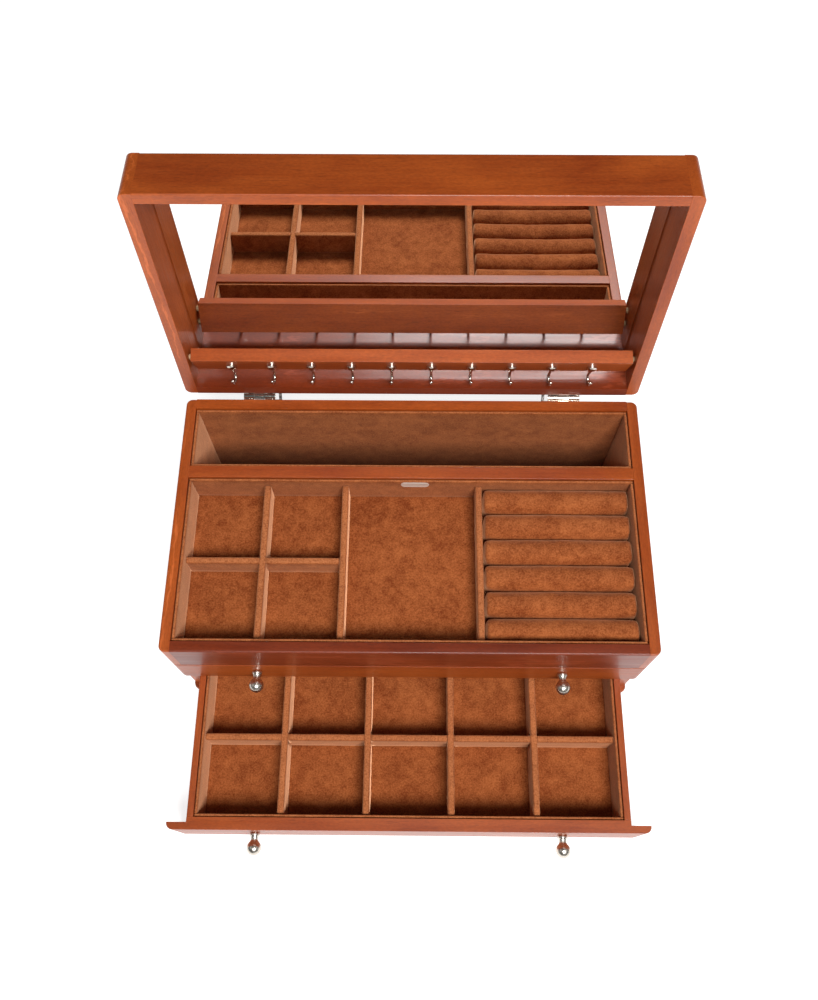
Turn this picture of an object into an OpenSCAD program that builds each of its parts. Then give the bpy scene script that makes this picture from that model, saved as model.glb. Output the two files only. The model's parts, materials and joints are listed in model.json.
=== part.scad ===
// Wooden jewelry box: hinged mirror lid, lined tray, deep rear well and two lined drawers.
// Origin: centre of the underside of the case. +Z up, -Y front, +X right.
// Stored as it stands in use: lid open on its stops, lower drawer pulled out.

/* [Case] */
// Outer width of the case
case_w = 330; // [300:1:400]
// Outer depth of the case, front to back
case_d = 189; // [180:1:230]
// Height of the case from the underside to the rim
case_h = 120; // [115:1:150]
// Thickness of the case boards and lid rails
wall_t = 7.5; // [6:0.1:9]
// Plan radius of the outer vertical corners
corner_r = 4.5; // [2:0.1:6]
// Height of the fixed apron board above the upper drawer
apron_h = 37; // [36:0.5:40]
// Thickness of the base board
base_t = 5.5; // [5:0.1:9]
// Thickness of the felt under the base
felt_t = 1; // [0.5:0.1:1.5]
// How far the felt stops inside the edge of the base
felt_inset = 3; // [1:0.5:10]
// Clear width of the deep well behind the tray, front to back
well_clear = 46.4; // [36:0.2:50]
// Thickness of the partition between the tray and the well
partition_t = 8.9; // [6:0.1:10]
// Thickness of the shelf between the two drawers
shelf_t = 3.5; // [3:0.1:4]
// Thickness of the board under the tray
tray_board_t = 3.5; // [3:0.1:4]

/* [Linings] */
// Thickness of a suede covered lining wall
lining_t = 1.8; // [1.2:0.1:2.4]
// Gap between the wood and a lining wall
lining_gap = 0.4; // [0.2:0.1:0.8]
// Thickness of a suede covered floor pad
pad_t = 1.5; // [1:0.1:2]
// How far the tray and well linings stop below the rim
lining_drop = 1.5; // [0.5:0.1:3]
// Thickness of a suede covered divider
divider_t = 4.6; // [3:0.1:5]
// Clearance at the ends and laps of dividers
divider_gap = 0.15; // [0.1:0.05:0.4]

/* [Tray] */
// Depth of the tray from the rim to its floor
tray_depth = 27; // [22:0.5:28]
// How far the tray dividers stop below the rim
tray_divider_drop = 8; // [5:0.5:12]
// Clear width of each of the two small tray columns
small_cell_w = 51; // [40:0.5:55]
// Clear width of the large tray cell
large_cell_w = 90; // [70:1:95]
// Number of padded ring rolls
roll_count = 6; // [5:1:7]
// How far the tops of the ring rolls lie below the rim
roll_drop = 6.5; // [6:0.5:10]
// Gap between neighbouring ring rolls
roll_gap = 0.3; // [0.2:0.1:0.6]
// Length of the blank name plate
plate_w = 20; // [12:1:30]
// Height of the blank name plate
plate_h = 6.4; // [4:0.2:8]
// Thickness of the blank name plate
plate_t = 0.6; // [0.4:0.1:1]
// Sideways place of the blank name plate
plate_x = 3; // [-20:1:20]

/* [Drawers] */
// Height of the upper drawer front
upper_front_h = 32.2; // [31:0.1:34]
// Thickness of the upper drawer front
upper_front_t = 8; // [6:0.1:9]
// Thickness of the lower drawer front between the sides of its box
lower_front_t = 8.4; // [7:0.1:9]
// Thickness of the lower drawer front's ends, which cover the sides of the case
lower_lip_t = 5; // [4:0.1:6]
// Height of the lower drawer's bottom above the lower edge of its sides
lower_bottom_lift = 11; // [4:0.5:14]
// Gap around the drawer fronts
reveal = 0.4; // [0.3:0.1:0.8]
// Length of the drawers, from the face of the case to the back of the box
drawer_len = 122; // [100:1:123]
// Thickness of the sides and back of a drawer box
drawer_side_t = 4.5; // [3.5:0.1:6]
// Thickness of a drawer bottom
drawer_bottom_t = 2.5; // [2:0.1:3]
// Running gap beside and below a drawer box
drawer_gap = 0.5; // [0.3:0.1:0.8]
// Thickness of the guide boards beside the drawers
guide_t = 5.5; // [4:0.1:7]
// How far the lower drawer stands open
lower_pull = 105; // [60:1:110]
// How far the drawer linings stop below the edge of the drawer box
drawer_lining_drop = 1.4; // [1:0.1:3]
// How far the drawer dividers stop below the edge of the drawer box
drawer_divider_drop = 4; // [2:0.5:8]
// Columns of cells in the lower drawer
lower_columns = 5; // [3:1:6]
// Columns of cells in the upper drawer
upper_columns = 3; // [2:1:5]

/* [Knobs] */
// Sideways distance of the knobs from the centre
knob_x = 107.5; // [80:1:125]
// Diameter of the knob's ball
knob_ball_d = 10.2; // [8:0.1:12]
// Distance of the ball's centre from the drawer face
knob_reach = 10; // [9:0.5:13]
// Diameter of the knob's flange
knob_flange_d = 7; // [6:0.1:9]
// Diameter of the knob screws
knob_screw_d = 2.8; // [2:0.1:3]

/* [Lid] */
// Height of the lid
lid_h = 34; // [30:0.5:40]
// Angle at which the open lid rests on its stops
lid_open = 95.6; // [90:0.1:100]
// Gap between the rim and the closed lid
lid_gap = 0.4; // [0.3:0.1:0.8]
// Thickness of the side rails of the lid
lid_side_t = 8.5; // [7:0.1:9]
// Thickness of the top panel of the lid
top_panel_t = 3; // [2.5:0.1:5]
// Thickness of the mirror
mirror_t = 1.5; // [1.5:0.1:3]
// Thickness of the bar that carries the necklace hooks
bar_t = 9.2; // [8:0.1:10]
// Height of the hook bar
bar_h = 23; // [20:0.5:24]
// Lean of the hook bar
bar_tilt = 23.5; // [15:0.5:25]
// Distance of the hook bar's front edge from the inner face of the lid's back rail
bar_back = 30; // [28.5:0.1:34.5]
// Gap between the hook bar and each lid rail
bar_gap = 2; // [1:0.1:3]
// Number of necklace hooks
hook_count = 10; // [6:1:11]
// Distance between neighbouring hooks
hook_pitch = 28.4; // [20:0.1:28.4]
// Diameter of the hook wire
hook_wire_d = 2; // [1.6:0.1:2.2]
// Length of a hook's stem, from the middle of its base to the bend
hook_drop = 12; // [8:0.1:12.4]
// Bend radius of a hook, to the middle of the wire
hook_bend_r = 4.2; // [3:0.1:4.4]
// Length of a hook's front leg
hook_leg = 6; // [3:0.1:7]
// Diameter of the hook's round base
hook_base_d = 7.4; // [6:0.1:8]
// Diameter of the ball on the tip of a hook
hook_ball_d = 2.6; // [2.4:0.1:3]

/* [Hinges] */
// Distance of the hinge axis behind the back of the case
hinge_back = 3; // [3:0.1:5]
// Sideways distance of the middle of each hinge barrel
hinge_x = 111.5; // [90:0.5:125]
// Length of the hinge barrel
barrel_l = 23; // [18:0.5:30]
// Outer diameter of the hinge barrel
barrel_d = 4.4; // [4.4:0.1:5]
// Diameter of the hinge pin
pin_d = 1.6; // [1.2:0.1:2]
// Radial clearance of the hinge pin
pin_clear = 0.05; // [0.03:0.01:0.08]
// Thickness of a hinge leaf
leaf_t = 1; // [0.8:0.1:1.2]
// Height of a hinge leaf
leaf_h = 15; // [12:0.5:20]
// Width of the stop finger beside each hinge
finger_w = 1.6; // [1.2:0.1:2]
// Diameter of the hinge screws
hinge_screw_d = 1.8; // [1.4:0.1:2]
// Length of the hinge screws inside the wood
hinge_screw_l = 5.5; // [4:0.1:6]

/* [Hidden] */

wood = "sienna";
wood_dark = "saddlebrown";
suede = "peru";
metal = "silver";
small = 0.01;

// Overall planes
front_y = -case_d / 2;
back_y = case_d / 2;
half_w = case_w / 2;
rim_z = case_h;
base_top = felt_t + base_t;
inner_x = half_w - wall_t;
inner_back = back_y - wall_t;
apron_back = front_y + wall_t;

// Well, partition and tray
partition_back = inner_back - well_clear;
partition_front = partition_back - partition_t;
tray_floor = rim_z - tray_depth;
tray_board_top = tray_floor - pad_t;
lining_x = inner_x - lining_gap - lining_t;
tray_front_in = apron_back + lining_gap + lining_t;
tray_back_in = partition_front - lining_gap - lining_t;
tray_divider_top = rim_z - tray_divider_drop;
small_divider_x = -lining_x + small_cell_w + divider_t / 2;
left_long_x = small_divider_x + divider_t + small_cell_w;
right_long_x = left_long_x + divider_t + large_cell_w;
tray_mid_y = (tray_front_in + tray_back_in) / 2;

// Ring rolls
roll_x0 = right_long_x + divider_t / 2 + roll_gap;
roll_x1 = lining_x - roll_gap;
roll_pitch = (tray_back_in - tray_front_in) / roll_count;
roll_w = roll_pitch - roll_gap;
roll_h = rim_z - roll_drop - tray_floor;
roll_r = min(roll_w, roll_h) / 2;
roll_flat = roll_w / 2 - roll_r;

// Drawer fronts, shelf and boxes
upper_front_z1 = rim_z - apron_h - reveal;
upper_front_z0 = upper_front_z1 - upper_front_h;
lower_front_z1 = upper_front_z0 - reveal;
lower_front_z0 = base_top + reveal;
shelf_lift = 0.6;
shelf_z0 = upper_front_z0 + shelf_lift;
shelf_z1 = shelf_z0 + shelf_t;
upper_box_y0 = front_y + upper_front_t;
lower_box_y0 = front_y + lower_front_t;
guide_x = inner_x - guide_t;
guide_y0 = max(upper_box_y0, lower_box_y0, apron_back) + reveal;
box_x = guide_x - drawer_gap;
box_back = front_y + drawer_len;
upper_box_z0 = shelf_z1 + drawer_gap;
upper_box_drop = 2;
upper_box_z1 = upper_front_z1 - upper_box_drop;
lower_box_z0 = base_top + drawer_gap;
lower_box_z1 = lower_front_z1;
lower_bottom_z0 = lower_box_z0 + lower_bottom_lift;
upper_knob_z = (upper_front_z0 + upper_front_z1) / 2;
lower_knob_drop = 1;
lower_knob_z = (lower_front_z0 + lower_front_z1) / 2 - lower_knob_drop;
drawer_in_x = box_x - drawer_side_t - lining_gap - lining_t;
drawer_in_back = box_back - drawer_side_t - lining_gap - lining_t;

// Knobs
knob_screw_l = 4;
knob_head_d = 5.4;
knob_head_h = 1;
flange_h = 2.3;
flange_edge = 0.8;
waist_r = 2.6;
waist_at = 4.9;

// Lid and hinges, with the lid drawn closed and then turned open
hinge_y = back_y + hinge_back;
hinge_z = rim_z;
lid_z0 = rim_z + lid_gap;
lid_z1 = rim_z + lid_h;
panel_z0 = lid_z1 - top_panel_t;
mirror_z0 = panel_z0 - mirror_t;
lid_inner_x = half_w - lid_side_t;
bar_x = lid_inner_x - bar_gap;
bar_y0 = inner_back - bar_back;
bar_lift = 0.3;
bar_z0 = lid_z0 + bar_lift;
mirror_gap = 0.3;
dowel_d = 4;
dowel_clear = 0.05;
dowel_l = 10;
barrel_r = barrel_d / 2;
knuckle_gap = 0.2;
knuckle_l = (barrel_l - 2 * knuckle_gap) / 3;
bore_r = pin_d / 2 + pin_clear;
leaf_ear = 2.4;
leaf_x0 = hinge_x - barrel_l / 2 - finger_w - leaf_ear;
leaf_x1 = hinge_x + barrel_l / 2;
leaf_top = 1.2;
finger_clear = 0.08;
screw_edge = 2.8;
hinge_screw_zs = [leaf_top + screw_edge + 0.8, leaf_h - screw_edge];
hinge_screw_dx = 7;
screw_clear = 0.05;
screw_end_gap = 0.2;
screw_head_r = 2;
screw_head_h = 0.9;

// A board between two corners
module board(a, b) {
    translate(a) cube([b[0] - a[0], b[1] - a[1], b[2] - a[2]]);
}

// Rounded plan outline of the case and lid
module plan() {
    square([case_w - 2 * corner_r, case_d], center = true);
    square([case_w, case_d - 2 * corner_r], center = true);
    for (x = [-1, 1], y = [-1, 1])
        translate([x * (half_w - corner_r), y * (case_d / 2 - corner_r)])
            circle(r = corner_r, $fn = 64);
}

module plan_block(z0, z1) {
    translate([0, 0, z0]) linear_extrude(z1 - z0) plan();
}

// Four thin walls standing inside a rectangle
module wall_ring(x0, x1, y0, y1, z0, z1, t) {
    difference() {
        board([x0, y0, z0], [x1, y1, z1]);
        board([x0 + t, y0 + t, z0 - 1], [x1 - t, y1 - t, z1 + 1]);
    }
}

// Turns the closed lid open about the hinge axis
module open_lid() {
    translate([0, hinge_y, hinge_z]) rotate([-lid_open, 0, 0])
        translate([0, -hinge_y, -hinge_z]) children();
}

module pulled_out() {
    translate([0, -lower_pull, 0]) children();
}

// Cylinder along Y that starts at y0 and runs to y1
module rod_y(x, z, y0, y1, d) {
    translate([x, y0, z]) rotate([-90, 0, 0]) cylinder(d = d, h = y1 - y0, $fn = 32);
}

// ---- Case ----

// Side board: full depth at the rim, set back behind each drawer front
module side_board() {
    difference() {
        intersection() {
            board([inner_x, front_y, base_top], [half_w, back_y, rim_z]);
            plan_block(base_top, rim_z);
        }
        board([inner_x - 1, front_y - 1, upper_front_z0 - reveal / 2],
            [half_w + 1, front_y + upper_front_t + reveal, rim_z - apron_h]);
        board([inner_x - 1, front_y - 1, base_top - 1],
            [half_w + 1, front_y + lower_lip_t + reveal, upper_front_z0]);
    }
}

module left_side() {
    color(wood) mirror([1, 0, 0]) side_board();
}

module right_side() {
    color(wood) side_board();
}

module back_panel() {
    color(wood) difference() {
        board([-inner_x, inner_back, base_top], [inner_x, back_y, rim_z]);
        case_screw_holes(hinge_screw_d / 2 + screw_clear);
    }
}

module front_apron() {
    color(wood) board([-inner_x, front_y, rim_z - apron_h], [inner_x, apron_back, rim_z]);
}

module well_partition() {
    color(wood) board([-inner_x, partition_front, base_top], [inner_x, partition_back, rim_z]);
}

module base_board() {
    color(wood_dark) plan_block(felt_t, base_top);
}

module felt_base() {
    color("black") board([-half_w + felt_inset, front_y + felt_inset, 0],
        [half_w - felt_inset, back_y - felt_inset, felt_t]);
}

module drawer_shelf() {
    color(wood_dark) board([-inner_x, upper_box_y0 + reveal, shelf_z0],
        [inner_x, partition_front, shelf_z1]);
}

module tray_board() {
    color(wood_dark) board([-inner_x, apron_back, tray_board_top - tray_board_t],
        [inner_x, partition_front, tray_board_top]);
}

// Guide boards fill the space between the case sides and a drawer box
module guides(z0, z1) {
    color(wood_dark) for (m = [0, 1])
        mirror([m, 0, 0]) board([guide_x, guide_y0, z0], [inner_x, partition_front, z1]);
}

module upper_guides() {
    guides(shelf_z1, tray_board_top - tray_board_t);
}

module lower_guides() {
    guides(base_top, shelf_z0);
}

// ---- Well and tray linings ----

module well_lining() {
    color(suede) wall_ring(-inner_x + lining_gap, inner_x - lining_gap, partition_back + lining_gap,
        inner_back - lining_gap, base_top, rim_z - lining_drop, lining_t);
}

module well_floor_pad() {
    color(suede) board([-lining_x, partition_back + lining_gap + lining_t, base_top],
        [lining_x, inner_back - lining_gap - lining_t, base_top + pad_t]);
}

module tray_lining() {
    color(suede) wall_ring(-inner_x + lining_gap, inner_x - lining_gap, apron_back + lining_gap,
        partition_front - lining_gap, tray_board_top, rim_z - lining_drop, lining_t);
}

module tray_floor_pad() {
    color(suede) board([-lining_x, tray_front_in, tray_board_top], [lining_x, tray_back_in, tray_floor]);
}

// Upper or lower half of a lap between two dividers that cross at x, y
module lap_cut(x, y, z0, z1) {
    w = divider_t / 2 + divider_gap;
    board([x - w, y - w, z0], [x + w, y + w, z1]);
}

module tray_small_divider() {
    mid_z = (tray_floor + tray_divider_top) / 2;
    color(suede) difference() {
        board([small_divider_x - divider_t / 2, tray_front_in + divider_gap, tray_floor],
            [small_divider_x + divider_t / 2, tray_back_in - divider_gap, tray_divider_top]);
        lap_cut(small_divider_x, tray_mid_y, tray_floor - 1, mid_z);
    }
}

module tray_long_dividers() {
    color(suede) for (x = [left_long_x, right_long_x])
        board([x - divider_t / 2, tray_front_in + divider_gap, tray_floor],
            [x + divider_t / 2, tray_back_in - divider_gap, tray_divider_top]);
}

module tray_cross_divider() {
    mid_z = (tray_floor + tray_divider_top) / 2;
    color(suede) difference() {
        board([-lining_x + divider_gap, tray_mid_y - divider_t / 2, tray_floor],
            [left_long_x - divider_t / 2 - divider_gap, tray_mid_y + divider_t / 2, tray_divider_top]);
        lap_cut(small_divider_x, tray_mid_y, mid_z, tray_divider_top + 1);
    }
}

// One padded roll, counted from the back of the tray
module ring_roll(i) {
    y = tray_back_in - (i - 0.5) * roll_pitch;
    if (i <= roll_count) color(suede)
        translate([roll_x0, y, tray_floor]) rotate([90, 0, 90]) linear_extrude(roll_x1 - roll_x0) {
            for (s = roll_flat > 0 ? [-1, 1] : [0])
                translate([s * roll_flat, roll_h - roll_r]) circle(r = roll_r, $fn = 64);
            if (roll_flat > 0) translate([-roll_flat, 0]) square([2 * roll_flat, roll_h]);
            translate([-roll_w / 2, 0]) square([roll_w, roll_h - roll_r]);
        }
}

module name_plate() {
    y1 = tray_back_in;
    z = rim_z - lining_drop - 1.2 - plate_h / 2;
    r = plate_h / 2;
    color(metal) translate([plate_x, y1, z]) rotate([90, 0, 0]) linear_extrude(plate_t) {
        square([plate_w - plate_h, plate_h], center = true);
        for (s = [-1, 1])
            translate([s * (plate_w / 2 - r), 0]) circle(r = r, $fn = 48);
    }
}

// ---- Hinges ----

// Knuckle on the hinge axis, from x0 to x1, bored for the pin
module knuckle(x0, x1, up) {
    difference() {
        union() {
            translate([x0, hinge_y, hinge_z]) rotate([0, 90, 0])
                cylinder(r = barrel_r, h = x1 - x0, $fn = 48);
            translate([x0, back_y, up ? hinge_z : hinge_z - leaf_top - small])
                cube([x1 - x0, leaf_t, leaf_top + small]);
        }
        translate([x0 - 1, hinge_y, hinge_z]) rotate([0, 90, 0])
            cylinder(r = bore_r, h = x1 - x0 + 2, $fn = 32);
    }
}

// Screw shanks or holes of one side of both hinges, s = 1 above the axis, -1 below it
module hinge_screw_rods(s, y0, y1, d) {
    for (m = [0, 1])
        mirror([m, 0, 0]) for (dx = [-hinge_screw_dx, hinge_screw_dx], z = hinge_screw_zs)
            rod_y(hinge_x + dx, hinge_z + s * z, y0, y1, d);
}

module case_screw_holes(r) {
    hinge_screw_rods(-1, back_y - hinge_screw_l - screw_end_gap, back_y + leaf_t + 1, 2 * r);
}

module lid_screw_holes(r) {
    hinge_screw_rods(1, back_y - hinge_screw_l - screw_end_gap, back_y + leaf_t + 1, 2 * r);
}

module case_hinge_leaves() {
    x = [hinge_x - barrel_l / 2, hinge_x + barrel_l / 2];
    color(metal) difference() {
        for (m = [0, 1])
            mirror([m, 0, 0]) {
                board([leaf_x0, back_y, hinge_z - leaf_h],
                    [leaf_x1, back_y + leaf_t, hinge_z - leaf_top]);
                knuckle(x[0], x[0] + knuckle_l, false);
                knuckle(x[1] - knuckle_l, x[1], false);
            }
        case_screw_holes(hinge_screw_d / 2 + 2 * screw_clear);
    }
}

// Finger that leans on the case leaf when the lid is open, drawn in the open pose
module stop_finger() {
    contact = -hinge_back + leaf_t + finger_clear;
    translate([leaf_x0, hinge_y, hinge_z]) rotate([90, 0, 90]) linear_extrude(finger_w)
        polygon([[contact, -3.2], [contact, -8.2], [contact + 2.4, -8.2], [3.2, -3.2], [7.5, 0.4],
            [7.5, 2.1], [2.2, 2.6], [0, -1.2]]);
}

module lid_hinge_leaves() {
    x = [hinge_x - knuckle_l / 2, hinge_x + knuckle_l / 2];
    color(metal) for (m = [0, 1])
        mirror([m, 0, 0]) {
            open_lid() difference() {
                union() {
                    board([leaf_x0, back_y, hinge_z + leaf_top],
                        [leaf_x1, back_y + leaf_t, hinge_z + leaf_h]);
                    knuckle(x[0], x[1], true);
                }
                lid_screw_holes(hinge_screw_d / 2 + 2 * screw_clear);
            }
            stop_finger();
        }
}

module hinge_pins() {
    color("dimgray") for (s = [-1, 1])
        translate([s * hinge_x - barrel_l / 2, hinge_y, hinge_z]) rotate([0, 90, 0])
            cylinder(d = pin_d, h = barrel_l, $fn = 32);
}

module hinge_screws(s) {
    color(metal) {
        hinge_screw_rods(s, back_y - hinge_screw_l, back_y + leaf_t + small, hinge_screw_d);
        hinge_screw_rods(s, back_y + leaf_t, back_y + leaf_t + screw_head_h, 2 * screw_head_r);
    }
}

module case_hinge_screws() {
    hinge_screws(-1);
}

module lid_hinge_screws() {
    open_lid() hinge_screws(1);
}

// ---- Lid ----

module lid_top_panel() {
    color(wood) open_lid() board([-lid_inner_x, apron_back, panel_z0], [lid_inner_x, inner_back, lid_z1]);
}

module lid_front_rail() {
    color(wood) open_lid() board([-lid_inner_x, front_y, lid_z0], [lid_inner_x, apron_back, lid_z1]);
}

module lid_back_rail() {
    color(wood) open_lid() difference() {
        board([-lid_inner_x, inner_back, lid_z0], [lid_inner_x, back_y, lid_z1]);
        lid_screw_holes(hinge_screw_d / 2 + screw_clear);
    }
}

module lid_side_rail() {
    difference() {
        intersection() {
            board([lid_inner_x, front_y, lid_z0], [half_w, back_y, lid_z1]);
            plan_block(lid_z0, lid_z1);
        }
        bar_dowels(dowel_d / 2 + dowel_clear, dowel_clear);
    }
}

module lid_left_rail() {
    color(wood) open_lid() mirror([1, 0, 0]) lid_side_rail();
}

module lid_right_rail() {
    color(wood) open_lid() lid_side_rail();
}

module lid_mirror() {
    x = lid_inner_x - mirror_gap;
    color("lightblue") open_lid() board([-x, apron_back + mirror_gap, mirror_z0],
        [x, inner_back - mirror_gap, panel_z0]);
}

// Places children in the frame of the hook bar: origin on its front lower edge,
// +Y along its height towards the hinge, +Z through its thickness towards the mirror
module in_bar() {
    translate([0, bar_y0, bar_z0]) rotate([bar_tilt, 0, 0]) children();
}

// The two dowels at the right end of the hook bar
module bar_dowels(r, extra) {
    in_bar() for (y = [bar_h * 0.27, bar_h * 0.73])
        translate([bar_x + bar_gap / 2 - dowel_l / 2 - extra, y, bar_t / 2]) rotate([0, 90, 0])
            cylinder(r = r, h = dowel_l + 2 * extra, $fn = 32);
}

module hook_bar() {
    color(wood) open_lid() difference() {
        in_bar() board([-bar_x, 0, 0], [bar_x, bar_h, bar_t]);
        for (m = [0, 1])
            mirror([m, 0, 0]) bar_dowels(dowel_d / 2 + dowel_clear, dowel_clear);
    }
}

module hook_bar_dowels() {
    color("burlywood") open_lid() for (m = [0, 1])
        mirror([m, 0, 0]) bar_dowels(dowel_d / 2, 0);
}

// One hook. Origin on the bar's face, -Z out of the face, +Y down the face
module hook() {
    r = hook_wire_d / 2;
    dome_h = 3;
    stem_z = -r - 0.7;
    leg_z = stem_z - 2 * hook_bend_r;
    intersection() {
        translate([0, 0, 1.2]) sphere(d = hook_base_d * 1.25, $fn = 48);
        translate([0, 0, -dome_h]) cylinder(d = hook_base_d, h = dome_h, $fn = 48);
    }
    translate([0, 0, stem_z]) rotate([-90, 0, 0]) cylinder(r = r, h = hook_drop, $fn = 24);
    translate([0, hook_drop, stem_z - hook_bend_r]) rotate([0, -90, 0])
        rotate_extrude(angle = 180, $fn = 48) translate([hook_bend_r, 0]) circle(r = r, $fn = 24);
    translate([0, hook_drop - hook_leg, leg_z]) {
        rotate([-90, 0, 0]) cylinder(r = r, h = hook_leg, $fn = 24);
        sphere(d = hook_ball_d, $fn = 32);
    }
}

module necklace_hooks() {
    color(metal) open_lid() in_bar() for (i = [0:hook_count - 1])
        translate([(i - (hook_count - 1) / 2) * hook_pitch, bar_h / 2, 0]) hook();
}

// ---- Drawers, drawn closed ----

module box_sides(y0, z0, z1) {
    color(wood) for (m = [0, 1])
        mirror([m, 0, 0]) board([box_x - drawer_side_t, y0, z0], [box_x, box_back, z1]);
}

module box_back_board(z0, z1) {
    x = box_x - drawer_side_t;
    color(wood) board([-x, box_back - drawer_side_t, z0], [x, box_back, z1]);
}

module box_bottom(y0, z0) {
    x = box_x - drawer_side_t;
    color(wood_dark) board([-x, y0, z0], [x, box_back - drawer_side_t, z0 + drawer_bottom_t]);
}

module box_lining(y0, z0, z1) {
    x = box_x - drawer_side_t - lining_gap;
    color(suede) wall_ring(-x, x, y0 + lining_gap, box_back - drawer_side_t - lining_gap,
        z0 + drawer_bottom_t, z1 - drawer_lining_drop, lining_t);
}

module box_pad(y0, z0) {
    color(suede) board([-drawer_in_x, y0 + lining_gap + lining_t, z0 + drawer_bottom_t],
        [drawer_in_x, drawer_in_back, z0 + drawer_bottom_t + pad_t]);
}

function divider_place(i, columns) =
    -drawer_in_x - divider_t / 2 + i * (2 * drawer_in_x + divider_t) / columns;

// Lengthwise dividers of a drawer with evenly spaced columns
module box_long_dividers(columns, y0, z0, z1, lapped) {
    y_in = y0 + lining_gap + lining_t;
    floor_z = z0 + drawer_bottom_t + pad_t;
    top_z = z1 - drawer_divider_drop;
    color(suede) for (i = [1:columns - 1]) {
        x = divider_place(i, columns);
        difference() {
            board([x - divider_t / 2, y_in + divider_gap, floor_z],
                [x + divider_t / 2, drawer_in_back - divider_gap, top_z]);
            if (lapped) lap_cut(x, (y_in + drawer_in_back) / 2, floor_z - 1, (floor_z + top_z) / 2);
        }
    }
}

// Turned knob: flange, waist and ball. Origin on the drawer face, -Y outwards
module knob() {
    r = knob_flange_d / 2;
    rotate([90, 0, 0]) difference() {
        union() {
            cylinder(r1 = r - flange_edge, r2 = r, h = flange_edge, $fn = 48);
            translate([0, 0, flange_edge]) cylinder(r = r, h = flange_h - flange_edge, $fn = 48);
            translate([0, 0, flange_h]) cylinder(r1 = r, r2 = waist_r, h = waist_at - flange_h, $fn = 48);
            translate([0, 0, waist_at]) cylinder(r = waist_r, h = knob_reach - waist_at, $fn = 48);
            translate([0, 0, knob_reach]) sphere(d = knob_ball_d, $fn = 64);
        }
        translate([0, 0, -1]) cylinder(d = knob_screw_d + 2 * screw_clear,
            h = knob_screw_l + 1 + screw_end_gap, $fn = 32);
    }
}

module knobs(y, z) {
    color(metal) for (s = [-1, 1])
        translate([s * knob_x, y, z]) knob();
}

module knob_holes(y0, y1, z) {
    for (s = [-1, 1])
        rod_y(s * knob_x, z, y0, y1, knob_screw_d + 2 * screw_clear);
}

// Screws from inside the drawer, with a low head against the back of the front
module knob_screws(face_y, back_face_y, z) {
    color(metal) for (s = [-1, 1]) {
        rod_y(s * knob_x, z, face_y - knob_screw_l, back_face_y + small, knob_screw_d);
        rod_y(s * knob_x, z, back_face_y - knob_head_h, back_face_y, knob_head_d);
    }
}

// Recess for the low screw heads in the back of a front
module knob_head_holes(back_face_y, z) {
    for (s = [-1, 1])
        rod_y(s * knob_x, z, back_face_y - knob_head_h - screw_clear, back_face_y + 1,
            knob_head_d + 2 * screw_clear);
}

module upper_drawer_front() {
    color(wood) difference() {
        intersection() {
            board([-half_w, front_y, upper_front_z0], [half_w, upper_box_y0, upper_front_z1]);
            plan_block(upper_front_z0, upper_front_z1);
        }
        knob_holes(front_y - 1, upper_box_y0 + 1, upper_knob_z);
        knob_head_holes(upper_box_y0, upper_knob_z);
    }
}

module upper_drawer_sides() {
    box_sides(upper_box_y0, upper_box_z0, upper_box_z1);
}

module upper_drawer_back() {
    box_back_board(upper_box_z0, upper_box_z1);
}

module upper_drawer_bottom() {
    box_bottom(upper_box_y0, upper_box_z0);
}

module upper_drawer_lining() {
    box_lining(upper_box_y0, upper_box_z0, upper_box_z1);
}

module upper_drawer_pad() {
    box_pad(upper_box_y0, upper_box_z0);
}

module upper_drawer_dividers() {
    box_long_dividers(upper_columns, upper_box_y0, upper_box_z0, upper_box_z1, false);
}

module upper_knobs() {
    knobs(front_y, upper_knob_z);
}

module upper_knob_screws() {
    knob_screws(front_y, upper_box_y0, upper_knob_z);
}

// Lower front: thick between the box sides, with thinner ends that lap over the sides of the case
module lower_drawer_front_body() {
    intersection() {
        union() {
            board([-half_w, front_y, lower_front_z0], [half_w, front_y + lower_lip_t, lower_front_z1]);
            board([-box_x, front_y, lower_front_z0], [box_x, lower_box_y0, lower_front_z1]);
        }
        plan_block(lower_front_z0, lower_front_z1);
    }
}

module lower_drawer_front() {
    color(wood) pulled_out() difference() {
        lower_drawer_front_body();
        knob_holes(front_y - 1, lower_box_y0 + 1, lower_knob_z);
        knob_head_holes(lower_box_y0, lower_knob_z);
    }
}

module lower_drawer_sides() {
    pulled_out() box_sides(lower_box_y0, lower_box_z0, lower_box_z1);
}

module lower_drawer_back() {
    pulled_out() box_back_board(lower_box_z0, lower_box_z1);
}

module lower_drawer_bottom() {
    pulled_out() box_bottom(lower_box_y0, lower_bottom_z0);
}

module lower_drawer_lining() {
    pulled_out() box_lining(lower_box_y0, lower_bottom_z0, lower_box_z1);
}

module lower_drawer_pad() {
    pulled_out() box_pad(lower_box_y0, lower_bottom_z0);
}

module lower_long_dividers() {
    pulled_out() box_long_dividers(lower_columns, lower_box_y0, lower_bottom_z0, lower_box_z1, true);
}

module lower_cross_divider() {
    y_in = lower_box_y0 + lining_gap + lining_t;
    y = (y_in + drawer_in_back) / 2;
    floor_z = lower_bottom_z0 + drawer_bottom_t + pad_t;
    top_z = lower_box_z1 - drawer_divider_drop;
    color(suede) pulled_out() difference() {
        board([-drawer_in_x + divider_gap, y - divider_t / 2, floor_z],
            [drawer_in_x - divider_gap, y + divider_t / 2, top_z]);
        for (i = [1:lower_columns - 1])
            lap_cut(divider_place(i, lower_columns), y, (floor_z + top_z) / 2, top_z + 1);
    }
}

module lower_knobs() {
    pulled_out() knobs(front_y, lower_knob_z);
}

module lower_knob_screws() {
    pulled_out() knob_screws(front_y, lower_box_y0, lower_knob_z);
}

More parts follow.
